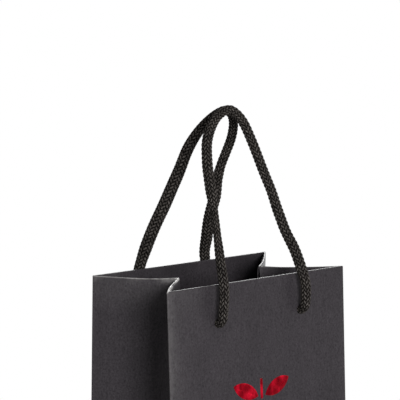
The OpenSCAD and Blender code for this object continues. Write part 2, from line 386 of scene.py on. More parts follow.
def rope_material():
    material, tree, surface = shader("black_braid")
    yarn = grain(tree, (2600, 2600, 2600), 3.0, 0.6)
    stitches = grain(tree, (700, 700, 700), 1.0)
    clouds = grain(tree, (150, 150, 150), 2.0)
    relief = attribute(tree, "relief")
    # Painted shade in the braid's grooves and painted highlight on its crowns
    relief_light_and_shade = ramp(tree, relief, (0.0, GROOVE_SHADE_ROPE), (0.5, DARK_ROPE), (1.0, CROWN_HIGHLIGHT_ROPE))
    tone = mix(tree, 1.0, relief_light_and_shade, ramp(tree, yarn, (0.25, 0.6), (0.75, 1.5)), "MULTIPLY")
    tone = mix(tree, 1.0, tone, ramp(tree, clouds, (0.3, 0.8), (0.7, 1.2)), "MULTIPLY")
    tone = mix(tree, 1.0, tone, ramp(tree, stitches, (0.3, 0.4), (0.7, 1.5)), "MULTIPLY")
    tree.links.new(tone, surface.inputs["Base Color"])
    tree.links.new(ramp(tree, yarn, (0.3, 0.70), (0.7, 0.90)), surface.inputs["Roughness"])
    surface.inputs["Specular IOR Level"].default_value = ROPE_GLOSS
    tree.links.new(bump(tree, yarn, ROPE_GRAIN, 0.7), surface.inputs["Normal"])
    return material


def foil_material():
    material, tree, surface = shader("red_foil")
    painted_reflection = grain(tree, (150, 150, 95), 2.0)
    crinkle = grain(tree, (1100, 1100, 500), 3.0)
    # Painted reflection: the foil's colour goes from dark to bright red in large patches
    tone = ramp(tree, painted_reflection, (0.33, DARK_FOIL), (0.5, RED_FOIL), (0.67, BRIGHT_FOIL))
    tree.links.new(tone, surface.inputs["Base Color"])
    surface.inputs["Metallic"].default_value = 1.0
    tree.links.new(ramp(tree, crinkle, (0.3, 0.22), (0.7, 0.36)), surface.inputs["Roughness"])
    tree.links.new(bump(tree, crinkle, FOIL_GRAIN, 0.5), surface.inputs["Normal"])
    return material


paper = paper_material()
card = card_material()
rope = rope_material()
foil = foil_material()

# Front and rear panels: base fold, outer sheet, rolled rim and hem in one sheet
PANEL_BOW = 1.0 * MM
BOW_RIPPLE = 0.5  # share of the bow that comes and goes
RIPPLES_ALONG = 22  # ripples per metre
RIPPLES_UP = 14
RIPPLE_PLACE = 3.1  # layer of the noise that they are taken from
BASE_RUN = 1.2 * MM  # how far the rounding of a base fold reaches
BASE_LAYER = {False: PAPER_T / 2, True: 1.5 * PAPER_T}  # height of the front and rear flaps
SIDE_LAYER = 2.5 * PAPER_T  # height of the side flaps
CORNER_SHARE = 0.4  # share of a gusset half that its corner fold may take up
CARD_SLOPE = 1.2 * MM  # from a corner fold to where the hem starts to rise over the card
RIM_R = 0.3 * MM  # greatest radius of the rolled rim
RIM_LAP = 0.25 * MM  # straight stretch below the roll
CUT_DEPTH = 8 * MM  # length of the punch that cuts a hole
HOLE_SEGMENTS = 32
FOLD_STEPS = 6
PANEL_STEPS = 60
RIM_STEPS = 4
CARD_FOOT = 0.3 * MM  # from the hem's lower edge to the card
CARD_HEAD = 0.9 * MM  # from the card to the rim
CARD_STEPS = (12, 4)

# Heights of the points up a sheet, and of the points down its hem
HEM_LOW = PANEL_L - HEM_D
FOOT_ROWS = [2 * MM, 5 * MM]
FIRST_ROW = 10 * MM
RIM_CLEAR = 4 * MM
SHEET_STEPS = 36
UPPER_STEPS = 8
HEM_STEPS = 9
ROW_VALUES = FOOT_ROWS + spread(FIRST_ROW, HEM_LOW, SHEET_STEPS)
ROW_VALUES += spread(HEM_LOW + RIM_CLEAR, PANEL_L - RIM_CLEAR, UPPER_STEPS)
HEM_VALUES = spread(PANEL_L - RIM_CLEAR, HEM_LOW, HEM_STEPS)


def fold_run(v):
    """How far a corner fold's rounding reaches, less near the base corner."""
    return min(FOLD_RUN, CORNER_SHARE * v * HALF_D / PANEL_L)


def hem_gap(u):
    """Distance between a panel's outer sheet and its hem, wider where the card lies."""
    return HEM_GAP + (CARD_GAP - HEM_GAP) * smoothstep(CARD_SLOPE, CARD_INSET, HALF_W - abs(u))


def panel_bow(u, v):
    """How far a panel lies inward of flat: it swells out, but not at its folds and card."""
    if v >= HEM_LOW:
        return 0.0
    rise = math.sin(math.pi * v / HEM_LOW)
    side = 1 - (u / HALF_W) ** 2
    ripple = noise.noise(Vector((u * RIPPLES_ALONG, v * RIPPLES_UP, RIPPLE_PLACE)))
    return -rise * side * PANEL_BOW * (1 + BOW_RIPPLE * ripple)


def panel_column(share, rear):
    """Points of a panel's sheet from the base up, over the rim and down its hem."""
    layer = BASE_LAYER[rear]
    u = share * (HALF_W - fold_run(BASE_RUN))
    flap = mirrored(Vector((u, -HALF_D + BASE_RUN, layer)), False, rear)
    edge = mirrored(Vector((u, -HALF_D, layer)), False, rear)
    start = on_panel(u, 0, BASE_RUN, rear)
    points = [bezier(flap, edge, start, t) for t in spread(0, 1, FOLD_STEPS)]
    for v in ROW_VALUES:
        u = share * (HALF_W - fold_run(v))
        points.append(on_panel(u, panel_bow(u, v), v, rear))
    gap = hem_gap(u)
    radius = min(RIM_R, gap / 2)
    low = PANEL_L - PAPER_T / 2 - radius
    points.append(on_panel(u, 0, low - RIM_LAP, rear))
    for first, middle in ((0, radius), (math.pi / 2, gap - radius)):
        for turn in spread(first, first + math.pi / 2, RIM_STEPS):
            inward = middle - radius * math.cos(turn)
            points.append(on_panel(u, inward, low + radius * math.sin(turn), rear))
    points.append(on_panel(u, gap, low - RIM_LAP, rear))
    points += [on_panel(u, gap, v, rear) for v in HEM_VALUES]
    return points


def punch_holes(obj, rear):
    """Cuts the two rope holes through a sheet of a panel."""
    cutters = []
    for x in (-HOLE_PITCH / 2, HOLE_PITCH / 2):
        place = Matrix.Translation(on_panel(x, 0, HOLE_V, rear))
        bm = bmesh.new()
        bmesh.ops.create_cone(
            bm, cap_ends=True, segments=HOLE_SEGMENTS, radius1=HOLE_R, radius2=HOLE_R,
            depth=CUT_DEPTH, matrix=place @ Matrix.Rotation(math.pi / 2, 4, "X"),
        )
        mesh = bpy.data.meshes.new("hole")
        bm.to_mesh(mesh)
        bm.free()
        cutter = bpy.data.objects.new("hole", mesh)
        bpy.context.collection.objects.link(cutter)
        modifier = obj.modifiers.new("hole", "BOOLEAN")
        modifier.operation = "DIFFERENCE"
        modifier.solver = "EXACT"
        modifier.object = cutter
        cutters.append(cutter)
    cut = bpy.data.meshes.new_from_object(obj.evaluated_get(bpy.context.evaluated_depsgraph_get()))
    obj.modifiers.clear()
    obj.data = cut
    finish_mesh(cut, SHEET_SHARP)
    for cutter in cutters:
        bpy.data.objects.remove(cutter)


def add_panel(side, rear):
    columns = [panel_column(share, rear) for share in spread(-1, 1, PANEL_STEPS)]
    grid = [[column[i] for column in columns] for i in range(len(columns[0]))]
    obj = add_mesh(f"{side}_panel_paper", *sheet_mesh(grid, PAPER_T), paper, "paper")
    punch_holes(obj, rear)
    set_wear_and_highlight(obj)
    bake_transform(obj)
    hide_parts(f"{side}_panel", f"{side}_hem")


def add_rim_card(side, rear):
    """The board between a panel and its hem."""
    half = HALF_W - CARD_INSET
    across, up = CARD_STEPS
    grid = [
        [on_panel(u, CARD_GAP / 2, v, rear) for u in spread(-half, half, across)]
        for v in spread(HEM_LOW + CARD_FOOT, PANEL_L - CARD_HEAD, up)
    ]
    obj = add_mesh(f"{side}_rim_card", *sheet_mesh(grid, CARD_T), card, "card")
    punch_holes(obj, rear)
    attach(obj, f"{side}_panel")
    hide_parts(f"{side}_card")


for side in ("front", "rear"):
    add_panel(side, side == "rear")
    add_rim_card(side, side == "rear")

# Sides: two gusset halves folded at the corner folds, and a triangle on the base
BESIDE = Vector((0, 1, 0))
BEND_SHARE = 0.45  # share of a gusset half that its crease's soft bend may take up
BEND_ROOM = 0.8  # share of the way from the crease to the bag's middle, likewise
BOW_START = 0.2  # share of the height above which a gusset half bows out
TIP_RISE = 0.4 * MM
TIP_START = 0.7  # share of the rim beyond which its tip rises
GUSSET_FOOT = 1 * MM  # height at which a gusset half starts
ROUND_STEPS = 10
GUSSET_STEPS = 24
BEND_STEPS = 4

# The hem of a gusset half springs away from its sheet
HEM_FLARE = 2.0 * MM
FLARE_RUN = 1.6 * MM  # drop over which it opens
FLARE_START = 0.05  # shares of the rim between which it grows
FLARE_FULL = 0.22
FLARE_LOSS = 0.75  # share that it loses towards the tip
FLARE_CLOSING = 0.7  # share that it loses down to the hem's lower edge
CLOSING_START = 0.2  # share of the hem's depth below which it loses it
FLARE_DROPS = [step * MM for step in (0.15, 0.4, 0.8, 1.3, 2, 3, 4.5, 7, 11, 16, 22, 28, 34, 39.5)]

# The triangle is creased slightly along its middle
TRIANGLE_CREASE = 1.2 * MM
CREASE_TOP = 0.96 * PANEL_L  # height at which this crease has faded out
TRIANGLE_TOP = PANEL_L - 1 * MM
TRIANGLE_STEPS = 10
LEAST_RUN = 1e-6  # least half width to divide by, for the triangle's pointed top


def crease_parts(v):
    """Place of the inner crease at a height, its bend's reach and the gusset's width."""
    reach = v * HALF_D / PANEL_L
    crease = CORNER + UP * v + ACROSS * reach
    bend = min(SOFT_R, BEND_SHARE * reach, BEND_ROOM * max(-crease.y, 0.0))
    return crease, bend, reach


def gusset_row(v, bow, dip):
    """Left front gusset half at a height, from the panel round its fold to the crease."""
    corner = CORNER + UP * v
    run = fold_run(v)
    crease, bend, reach = crease_parts(v)
    start = corner + ALONG * run
    control = corner - (ALONG + ACROSS) * (run / 2)
    points = [bezier(start, control, corner + ACROSS * run, t) for t in spread(0, 1, ROUND_STEPS)]
    high = reach - bend
    lift = smoothstep(HEM_LOW, PANEL_L, v)
    for s in spread(run, high, GUSSET_STEPS)[1:]:
        share = s / reach
        swell = math.sin(math.pi * share)
        sway = bow * swell * smoothstep(BOW_START * PANEL_L, PANEL_L, v)
        raised = lift * (TIP_RISE * smoothstep(TIP_START, 1.0, share) - dip * swell)
        points.append(corner + ACROSS * s + GUSSET_OUT * sway + UP * raised)
    inner = points[-1]
    shift = inner - corner - ACROSS * high
    end = crease + BESIDE * bend + shift
    points += [bezier(inner, crease + shift, end, t) for t in spread(0, 0.5, BEND_STEPS)[1:]]
    return points


def add_gusset(name):
    """A gusset half with its rolled rim and its hem."""
    right, rear = CORNERS[name]
    bow = GUSSET_BOW[name]
    dip = RIM_DIP[name]
    rows = [gusset_row(v, bow, dip) for v in [GUSSET_FOOT] + ROW_VALUES]
    radius = HEM_GAP / 2
    low = PANEL_L - PAPER_T / 2 - radius
    rows.append(gusset_row(low - RIM_LAP, bow, dip))
    top = gusset_row(low, bow, dip)
    normals = []
    flares = []
    for j, point in enumerate(top):
        across = top[min(j + 1, len(top) - 1)] - top[max(j - 1, 0)]
        normals.append(across.cross(UP).normalized())
        share = (point - top[0]).length / HALF_D
        flare = HEM_FLARE * smoothstep(FLARE_START, FLARE_FULL, share)
        flares.append(flare * (1 - FLARE_LOSS * share))
    for turn in spread(0, math.pi, 2 * RIM_STEPS):
        shift = radius - radius * math.cos(turn)
        rows.append([p + n * shift + UP * (radius * math.sin(turn)) for p, n in zip(top, normals)])
    for drop in FLARE_DROPS:
        opening = 1 - math.exp(-drop / FLARE_RUN)
        closing = 1 - FLARE_CLOSING * smoothstep(CLOSING_START * HEM_D, HEM_D, drop)
        rows.append([
            p + n * (HEM_GAP + flare * opening * closing)
            for p, n, flare in zip(gusset_row(low - drop, bow, dip), normals, flares)
        ])
    grid = [[mirrored(p, right, rear) for p in row] for row in rows]
    obj = add_mesh(f"{name}_gusset_paper", *sheet_mesh(grid, PAPER_T), paper, "paper")
    set_wear_and_highlight(obj)
    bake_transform(obj)
    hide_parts(f"{name}_gusset", f"{name}_gusset_hem")


def triangle_row(v):
    """Left side triangle at a height, from crease to crease."""
    crease, bend, _ = crease_parts(v)
    inner = crease - ACROSS * bend
    start = crease + BESIDE * bend
    half = [bezier(inner, crease, start, t) for t in spread(0.5, 1, BEND_STEPS)]
    fade = math.sin(math.pi * min(1.0, v / CREASE_TOP))
    for y in spread(start.y, 0, TRIANGLE_STEPS)[1:]:
        point = Vector((start.x, y, start.z))
        share = 1 - abs(y) / max(-start.y, LEAST_RUN)
        point.x += TRIANGLE_CREASE * fade * share
        half.append(point)
    return half + [mirrored(p, False, True) for p in reversed(half[:-1])]


def add_triangle(side, right):
    """The large triangle of a side, with its fold at the base."""
    rows = []
    first = triangle_row(BASE_RUN)
    for t in spread(0, 1, FOLD_STEPS):
        row = []
        for p in first:
            edge = Vector((-HALF_W, p.y, SIDE_LAYER))
            row.append(bezier(edge + ALONG * BASE_RUN, edge, p, t))
        rows.append(row)
    rows += [triangle_row(v) for v in ROW_VALUES + [TRIANGLE_TOP]]
    grid = [[mirrored(p, right, False) for p in row] for row in rows]
    obj = add_mesh(f"{side}_side_paper", *sheet_mesh(grid, PAPER_T), paper, "paper")
    set_wear_and_highlight(obj)
    end = mirrored(first[len(first) // 2], right, False)
    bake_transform(obj)
    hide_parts(f"{side}_side_triangle")


for side in ("left", "right"):
    add_triangle(side, side == "right")
    for half in ("front", "rear"):
        add_gusset(f"{side}_{half}")

# Rope handles, from hole to hole: place along the panel, distance outward from
# the rim's outside, height above the rim
FRONT_ROUTE = [
    (-0.0285, 0.006, -0.0105), (-0.028, 0.006, -0.0025), (-0.027, 0.003, 0.0065),
    (-0.0255, -0.0005, 0.0145), (-0.024, -0.004, 0.0245), (-0.0225, -0.008, 0.035),
    (-0.021, -0.012, 0.045), (-0.02, -0.016, 0.055), (-0.0185, -0.019, 0.063),
    (-0.0165, -0.0215, 0.0695), (-0.0125, -0.024, 0.0755), (-0.0075, -0.026, 0.0805),
    (-0.002, -0.0275, 0.0835), (0.0035, -0.028, 0.085), (0.008, -0.027, 0.0825),
    (0.011, -0.025, 0.078), (0.0125, -0.022, 0.0715), (0.0145, -0.019, 0.063),
    (0.0165, -0.0155, 0.053), (0.0185, -0.0115, 0.043), (0.02, -0.007, 0.032),
    (0.022, -0.0035, 0.0225), (0.025, 0.0005, 0.0125), (0.0265, 0.0035, 0.0045),
    (0.027, 0.006, -0.0035), (0.0275, 0.006, -0.0105),
]
REAR_ROUTE = [
    (-0.0265, 0.007, -0.0125), (-0.0245, 0.008, -0.0045), (-0.023, 0.007, 0.0025),
    (-0.022, 0.003, 0.0125), (-0.02, -0.0015, 0.0235), (-0.018, -0.006, 0.033),
    (-0.015, -0.01, 0.044), (-0.0125, -0.014, 0.054), (-0.0105, -0.018, 0.064),
    (-0.008, -0.022, 0.0715), (-0.004, -0.025, 0.0775), (0.001, -0.0275, 0.082),
    (0.0065, -0.0285, 0.084), (0.0115, -0.0275, 0.082), (0.0155, -0.025, 0.0765),
    (0.0175, -0.021, 0.0685), (0.0175, -0.017, 0.061), (0.0165, -0.013, 0.052),
    (0.017, -0.009, 0.042), (0.017, -0.005, 0.032), (0.0175, -0.001, 0.0225),
    (0.0195, 0.0035, 0.0115), (0.0215, 0.007, 0.0025), (0.0235, 0.008, -0.0045),
    (0.026, 0.007, -0.0125),
]
# How flat a rope lies: share of its length, gain in width, distance towards FLAT_WAY
FRONT_LIE = [
    (0, 0, 0), (0.12, 0, 0), (0.17, -0.06, -0.0001), (0.215, -0.2, -0.00025),
    (0.265, -0.15, -0.0003), (0.305, 0.14, -0.0004), (0.34, 0.1, -0.0002), (0.4, 0.06, 0),
    (0.7, 0.03, 0), (0.76, 0.1, -0.0004), (0.8, 0.1, -0.0006), (0.83, 0.16, -0.0005),
    (0.87, 0.17, -0.0007), (0.92, 0.04, -0.0001), (1, 0, 0),
]
REAR_LIE = [
    (0, 0, 0), (0.06, 0.15, 0.0002), (0.115, 0.2, 0.0004), (0.16, 0.36, 0.0005),
    (0.26, 0.4, 0.0006), (0.31, 0.36, 0.0005), (0.38, 0.25, 0.0002), (0.46, 0, 0),
    (0.66, 0, -0.0003), (0.69, 0.1, -0.0004), (0.74, 0.3, 0.0006), (0.83, 0.32, 0.0004),
    (0.88, 0.18, -0.0002), (0.93, 0, 0), (1, 0, 0),
]
NO_LIE = [(0, 0, 0), (1, 0, 0)]
FLAT_WAY = Vector((0.78, -0.63, 0))
THINNING = 0.7  # share of the gain in width that a rope loses in thickness
WAVER = 0.05  # how much its width comes and goes
WAVER_RATE = 0.012  # how fast it does so, from point to point
WAVER_ROW = 900  # row and layer of the noise that it is taken from
WAVER_PLACE = 0.3
PINCH_NEAR = 6 * MM  # a rope is fully pinched up to here from its end
PINCH_FAR = 11 * MM  # and not at all from here on
CURVE_STEPS = 24
SMOOTH_PASSES = 30

# The braid: its strands pass over two others and under two
STRANDS = 10
BRAID_STEP = 2.3 * MM  # length of rope that a strand's width takes up
BRAID_DEPTH = 0.80 * MM
OVER = 2
REPEAT = 2 * OVER
CELL = 4  # points across a strand
NUDGE = 0.01  # to each side of a point, so that the higher strand counts
STRAND_DIP = 0.3  # height of a strand where it goes under another
END_RELIEF = 0.3  # height at the middle of a rope's cut end


def arch(place):
    """Height of a half ellipse from 0 to 1."""
    return max(0.0, 1 - (2 * place - 1) ** 2) ** 0.5


def strand_height(a, b):
    """Height of the upper strand at a place counted in strands of both directions."""
    if (math.floor(a) + math.floor(b)) % REPEAT < OVER:
        width = a % 1
        length = (b + math.floor(a)) % REPEAT / OVER
    else:
        width = b % 1
        length = (a + math.floor(b)) % REPEAT / OVER - 1
    return arch(width) * (STRAND_DIP + (1 - STRAND_DIP) * arch(length))


def braid_table():
    """Heights of one repeat of the braid, point by point."""
    table = {}
    for i in range(REPEAT * CELL):
        for j in range(REPEAT * CELL):
            table[i, j] = max(
                strand_height(i / CELL + da, j / CELL + db)
                for da in (-NUDGE, NUDGE) for db in (-NUDGE, NUDGE)
            )
    return table


BRAID = braid_table()


def smooth_path(points, step):
    """An even run of points along a smooth curve through given points."""
    padded = [points[0] * 2 - points[1]] + points + [points[-1] * 2 - points[-2]]
    fine = []
    for i in range(1, len(padded) - 2):
        p0, p1, p2, p3 = padded[i - 1:i + 3]
        bend = p0 * 2 - p1 * 5 + p2 * 4 - p3
        twist = p1 * 3 - p0 - p2 * 3 + p3
        for k in range(CURVE_STEPS):
            t = k / CURVE_STEPS
            fine.append((p1 * 2 + (p2 - p0) * t + bend * t**2 + twist * t**3) / 2)
    fine.append(points[-1].copy())
    for _ in range(SMOOTH_PASSES):
        fine = [fine[0]] + [
            (fine[i - 1] + fine[i] * 2 + fine[i + 1]) / 4 for i in range(1, len(fine) - 1)
        ] + [fine[-1]]
    even = [fine[0]]
    carried = 0.0
    for a, b in zip(fine, fine[1:]):
        length = (b - a).length
        while carried + length >= step * len(even):
            even.append(a.lerp(b, (step * len(even) - carried) / length))
        carried += length
    return even


def lie_at(share, lie):
    """Gain in width and sideways distance of a rope at a share of its length."""
    for (start, gain, aside), (end, next_gain, next_aside) in zip(lie, lie[1:]):
        if share <= end:
            part = smoothstep(start, end, share)
            return gain + (next_gain - gain) * part, aside + (next_aside - aside) * part
    return lie[-1][1:]


def braided_rope(name, points, radius, pinch=0.0, lie=NO_LIE):
    """A braided tube along a curve, whose strands stand in relief.

    It is pinched near its ends, and lies flatter where its list says so.
    """
    step = BRAID_STEP / (2 * CELL)
    path = smooth_path(points, step)
    last = len(path) - 1
    around = STRANDS * CELL
    repeat = REPEAT * CELL
    tangent = (path[1] - path[0]).normalized()
    side = tangent.orthogonal().normalized()
    verts = []
    relief = []
    for m, centre in enumerate(path):
        ahead = (path[min(m + 1, last)] - path[max(m - 1, 0)]).normalized()
        side = (side - ahead * side.dot(ahead)).normalized()
        out = ahead.cross(side)
        gain, aside = lie_at(m / last, lie)
        gain += WAVER * noise.noise(Vector((m * WAVER_RATE, radius * WAVER_ROW, WAVER_PLACE)))
        wide = (FLAT_WAY - ahead * FLAT_WAY.dot(ahead)).normalized()
        thin = ahead.cross(wide)
        from_end = min(m, last - m) * step
        full = radius * (1 - pinch * (1 - smoothstep(PINCH_NEAR, PINCH_FAR, from_end)))
        for n in range(around):
            place = 2 * n + m % 2
            height = BRAID[(place + m) // 2 % repeat, (place - m) // 2 % repeat]
            turn = math.pi * place / around
            reach = full - BRAID_DEPTH * (1 - height)
            spot = side * math.cos(turn) + out * math.sin(turn)
            flat = wide * spot.dot(wide) * (1 + gain)
            flat += thin * spot.dot(thin) * (1 - THINNING * gain)
            verts.append(centre + wide * aside + flat * reach)
            relief.append(height)
    faces = []
    for m in range(last - 1):
        for n in range(around):
            left = (n - 1 + m % 2) % around
            right = (n + m % 2) % around
            ring = (m + 1) * around
            faces.append((m * around + n, ring + right, (m + 2) * around + n, ring + left))
    for end, near in ((0, 1), (last, last - 1)):
        hub = len(verts)
        verts.append(path[end].copy())
        relief.append(END_RELIEF)
        for n in range(around):
            a = end * around + n
            b = end * around + (n + 1) % around
            tip = near * around + (n + end % 2) % around
            faces.append((a, b, tip))
            faces.append((hub, a, b))
    obj = add_mesh(name, verts, faces, rope, "rope", ROPE_SHARP)
    layer = obj.data.attributes.new("relief", "FLOAT", "POINT")
    layer.data.foreach_set("value", relief)
    return obj, path


# A rope's end, from behind its hole to the start of its rise: distance inward, height
# above the hole
ROPE_END = [(5.0 * MM, 0.0), (1.5 * MM, 0.0), (-1.6 * MM, -0.3 * MM), (-4.1 * MM, 2.2 * MM)]
RIM_Z = FOLD_Z + PANEL_L * UP.z

# Stride at which a handle's path points are listed
CORD_STRIDE = 4


def rope_end(x, rear):
    return [on_panel(x, inward, HOLE_V + up, rear) for inward, up in ROPE_END]


def add_handle(side, route, rear, lie):
    """A rope handle, from the inside of one hole to the inside of the other."""
    rise = [
        mirrored(Vector((x, -MOUTH_D / 2 - out, RIM_Z + up)), False, rear) for x, out, up in route
    ]
    points = rope_end(-HOLE_PITCH / 2, rear) + rise + rope_end(HOLE_PITCH / 2, rear)[::-1]
    obj, path = braided_rope(f"{side}_rope_loop", points, ROPE_D / 2, HOLE_PINCH, lie)
    length = sum((b - a).length for a, b in zip(path, path[1:]))
    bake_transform(obj)
    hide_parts(f"{side}_handle_rope")
    [tuple(p) for p in path[::CORD_STRIDE]]


add_handle("front", FRONT_ROUTE, False, FRONT_LIE)
add_handle("rear", REAR_ROUTE, True, REAR_LIE)

# Overhand knots behind the holes. Their leads and tails are places along the panel,
# inward of the knot's middle and above the hole
KNOT_R = 2.15 * MM
KNOT_IN = 7.0 * MM
KNOT_SIZE = 1.75 * MM
KNOT_DEPTH = 1.2  # for a knot of size 1
KNOT_START = 0.55 * math.pi
KNOT_END = 2.28 * math.pi
KNOT_STEPS = 22
KNOT_LEAD = [(0, -5.0 * MM, 0), (0.3 * MM, -3.2 * MM, 0.8 * MM)]
KNOT_TAIL = [(3.5 * MM, 0.5 * MM, -6.5 * MM), (1.5 * MM, 0, -13 * MM)]


def add_knot(side, hand, rear):
    """A knot that follows part of a trefoil, with its lead and its tail."""
    x = HOLE_PITCH / 2 * (1 if hand == "right" else -1)

    def place(u, w, v):
        return on_panel(x + u, KNOT_IN + w, HOLE_V + v, rear)

    points = [place(*spot) for spot in KNOT_LEAD]
    for turn in spread(KNOT_START, KNOT_END, KNOT_STEPS):
        u = math.sin(turn) + 2 * math.sin(2 * turn)
        w = -KNOT_DEPTH * math.sin(3 * turn)
        v = math.cos(turn) - 2 * math.cos(2 * turn)
        points.append(place(u * KNOT_SIZE, w * KNOT_SIZE, v * KNOT_SIZE))
    points += [place(*spot) for spot in KNOT_TAIL]
    obj, _ = braided_rope(f"{side}_{hand}_rope_knot", points, KNOT_R)
    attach(obj, f"{side}_panel")
    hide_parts(f"{side}_{hand}_knot")


for side in ("front", "rear"):
    for hand in ("left", "right"):
        add_knot(side, hand, side == "rear")

# Glued seam tab inside the rear left corner
SEAM_W = 16 * MM
SEAM_INSET = 5 * MM
SEAM_WAVER = 0.03  # how much its cut edge wavers, as a share of its width
SEAM_WAVES = 60  # wavers per metre
SEAM_STEPS = (4, 40)


def add_seam_tab():
    left = -HALF_W + SEAM_INSET
    across, up = SEAM_STEPS
    grid = []
    for v in spread(SEAM_INSET, HEM_LOW - SEAM_INSET, up):
        width = SEAM_W * (1 + SEAM_WAVER * noise.noise(Vector((v * SEAM_WAVES, 0, 0))))
        row = []
        for u in spread(left, left + width, across):
            row.append(on_panel(u, panel_bow(u, v) + PAPER_T, v, True))
        grid.append(row)
    obj = add_mesh("seam_tab_paper", *sheet_mesh(grid, PAPER_T), paper, "paper")
    set_wear_and_highlight(obj)
    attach(obj, "rear_panel")
    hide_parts("seam_tab")


add_seam_tab()

# Folded base: four flaps glued on each other, and a loose board on them
LONG_FLAP = 62 * MM
SIDE_FLAP = 44 * MM
FLAP_INSET = 1.5 * MM
FLAP_TAPER = 14 * MM  # length of a flap over which it narrows
FLAP_SLANT = 0.6  # how much it narrows on each side for its length
FLAP_T = 0.36 * MM
FLAP_STEPS = (24, 16)
BOARD_T = 0.8 * MM
BOARD_INSET = 2 * MM
BOARD_CORNER = 3 * MM
BOARD_EDGE = 0.12 * MM
BOARD_LOW = 3 * PAPER_T
CORNER_STEPS = 8


def add_flap(name, half, length, place):
    """A flap from its fold inward, with its free corners cut slanting."""
    across, along = FLAP_STEPS
    grid = []
    for y in spread(BASE_RUN, length, along):
        width = half - FLAP_SLANT * max(0.0, y - length + FLAP_TAPER)
        grid.append([place(x, y) for x in spread(-width, width, across)])
    obj = add_mesh(f"{name}_paper", *sheet_mesh(grid, FLAP_T), paper, "paper")
    set_wear_and_highlight(obj)
    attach(obj, "base")
    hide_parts(name)


for rear in (False, True):
    add_flap(
        "base_rear_flap" if rear else "base_front_flap", HALF_W - FLAP_INSET, LONG_FLAP,
        lambda x, y: mirrored(Vector((x, -HALF_D + y, BASE_LAYER[rear])), False, rear),
    )
for right in (False, True):
    add_flap(
        "base_right_flap" if right else "base_left_flap", HALF_D - FLAP_INSET, SIDE_FLAP,
        lambda x, y: mirrored(Vector((-HALF_W + y, x, SIDE_LAYER)), right, False),
    )


def add_base_board():
    """The loose board with its corners clipped round."""
    half_x = HALF_W - BOARD_INSET
    half_y = HALF_D - BOARD_INSET
    outline = []
    for sx, sy, first in ((1, 1, 0), (-1, 1, 90), (-1, -1, 180), (1, -1, 270)):
        for turn in spread(first, first + 90, CORNER_STEPS):
            outline.append((
                sx * (half_x - BOARD_CORNER) + BOARD_CORNER * math.cos(math.radians(turn)),
                sy * (half_y - BOARD_CORNER) + BOARD_CORNER * math.sin(math.radians(turn)),
            ))
    count = len(outline)
    rings = [
        (BOARD_LOW, BOARD_EDGE), (BOARD_LOW + BOARD_EDGE, 0),
        (BOARD_LOW + BOARD_T - BOARD_EDGE, 0), (BOARD_LOW + BOARD_T, BOARD_EDGE),
    ]
    verts = []
    for z, inset in rings:
        for x, y in outline:
            verts.append(Vector((x * (1 - inset / half_x), y * (1 - inset / half_y), z)))
    top = (len(rings) - 1) * count
    faces = [tuple(range(count)), tuple(range(top, top + count))]
    for ring in range(len(rings) - 1):
        for i in range(count):
            a = ring * count + i
            b = ring * count + (i + 1) % count
            faces.append((a, b, b + count, a + count))
    obj = add_mesh("base_board", verts, faces, card, "card", BOARD_SHARP)
    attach(obj, "base_card")
    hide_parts("base_card")


add_base_board()

# Foil emblem: a bunch of berries under two leaves, stamped on the front panel
EMBLEM_DROP = 52 * MM
BERRY_PITCH = 8.4 * MM
BERRY_R = 3.7 * MM
BERRY_ROWS = 4
LEAF_L = 18 * MM
LEAF_W = 8 * MM
LEAF_RISE = math.radians(24)
STEM_L = 9 * MM
STEM_W = 1.6 * MM
STEM_TIP = 0.001 * MM  # how far the stem's end is raised in its middle
LEAF_GAP = 1.5 * STEM_W  # from the stem's middle to a leaf
FOIL_RELIEF = 0.22 * MM
FOIL_FOOT = 0.03 * MM
VEIN_W = 0.7 * MM  # half width of the groove along a leaf
VEIN_RELIEF = 0.35  # share of the relief that is left in the groove
BERRY_STEPS = 40
LEAF_STEPS = 18

# A foil patch from its edge inward: share of its outline, share of its relief. The first
# ring is the foot in the paper
FOIL_RINGS = [(1.0, -1.0), (1.0, 0.35), (0.93, 0.62), (0.8, 0.82), (0.55, 0.95), (0.28, 1.0)]


def foil_spot(x, y, lift):
    """A place on the emblem, from its top edge, and its lift off the paper."""
    v = PANEL_L - EMBLEM_DROP + y
    return on_panel(x, panel_bow(x, v) - PAPER_T / 2 - lift, v)


def foil_patch(outline, centre, verts, faces, groove=None):
    """A pillow of foil inside an outline, with its edge in the paper."""
    first = len(verts)
    count = len(outline)
    for share, height in FOIL_RINGS:
        for x, y in outline:
            px = centre[0] + (x - centre[0]) * share
            py = centre[1] + (y - centre[1]) * share
            lift = FOIL_RELIEF * height if height > 0 else -FOIL_FOOT
            if groove and height > 0:
                lift *= groove(px, py)
            verts.append(foil_spot(px, py, lift))
    for ring in range(len(FOIL_RINGS) - 1):
        for i in range(count):
            a = first + ring * count + i
            b = first + ring * count + (i + 1) % count
            faces.append((a, b, b + count, a + count))
    faces.append(tuple(range(first, first + count)))
    last = first + (len(FOIL_RINGS) - 1) * count
    faces.append(tuple(range(last, last + count)))


def leaf_outline(flip):
    """Two arcs that meet in a point at each end, their middle and the leaf's groove."""
    radius = (LEAF_L**2 + LEAF_W**2) / (4 * LEAF_W)
    half = math.asin(LEAF_L / 2 / radius)
    base = Vector((LEAF_GAP, -STEM_L))
    along = Vector((math.cos(LEAF_RISE), math.sin(LEAF_RISE)))
    across = Vector((-along.y, along.x))
    points = []
    for side in (1, -1):
        for turn in spread(-half, half, LEAF_STEPS)[:-1]:
            run = LEAF_L / 2 + radius * math.sin(turn * side)
            rise = side * (radius * math.cos(turn) - radius + LEAF_W / 2)
            spot = base + along * run + across * rise
            points.append((spot.x * flip, spot.y))
    middle = base + along * (LEAF_L / 2)

    def vein(x, y):
        offset = (Vector((x * flip, y)) - base).dot(across)
        return VEIN_RELIEF + (1 - VEIN_RELIEF) * smoothstep(0.0, VEIN_W, abs(offset))

    return points, (middle.x * flip, middle.y), vein


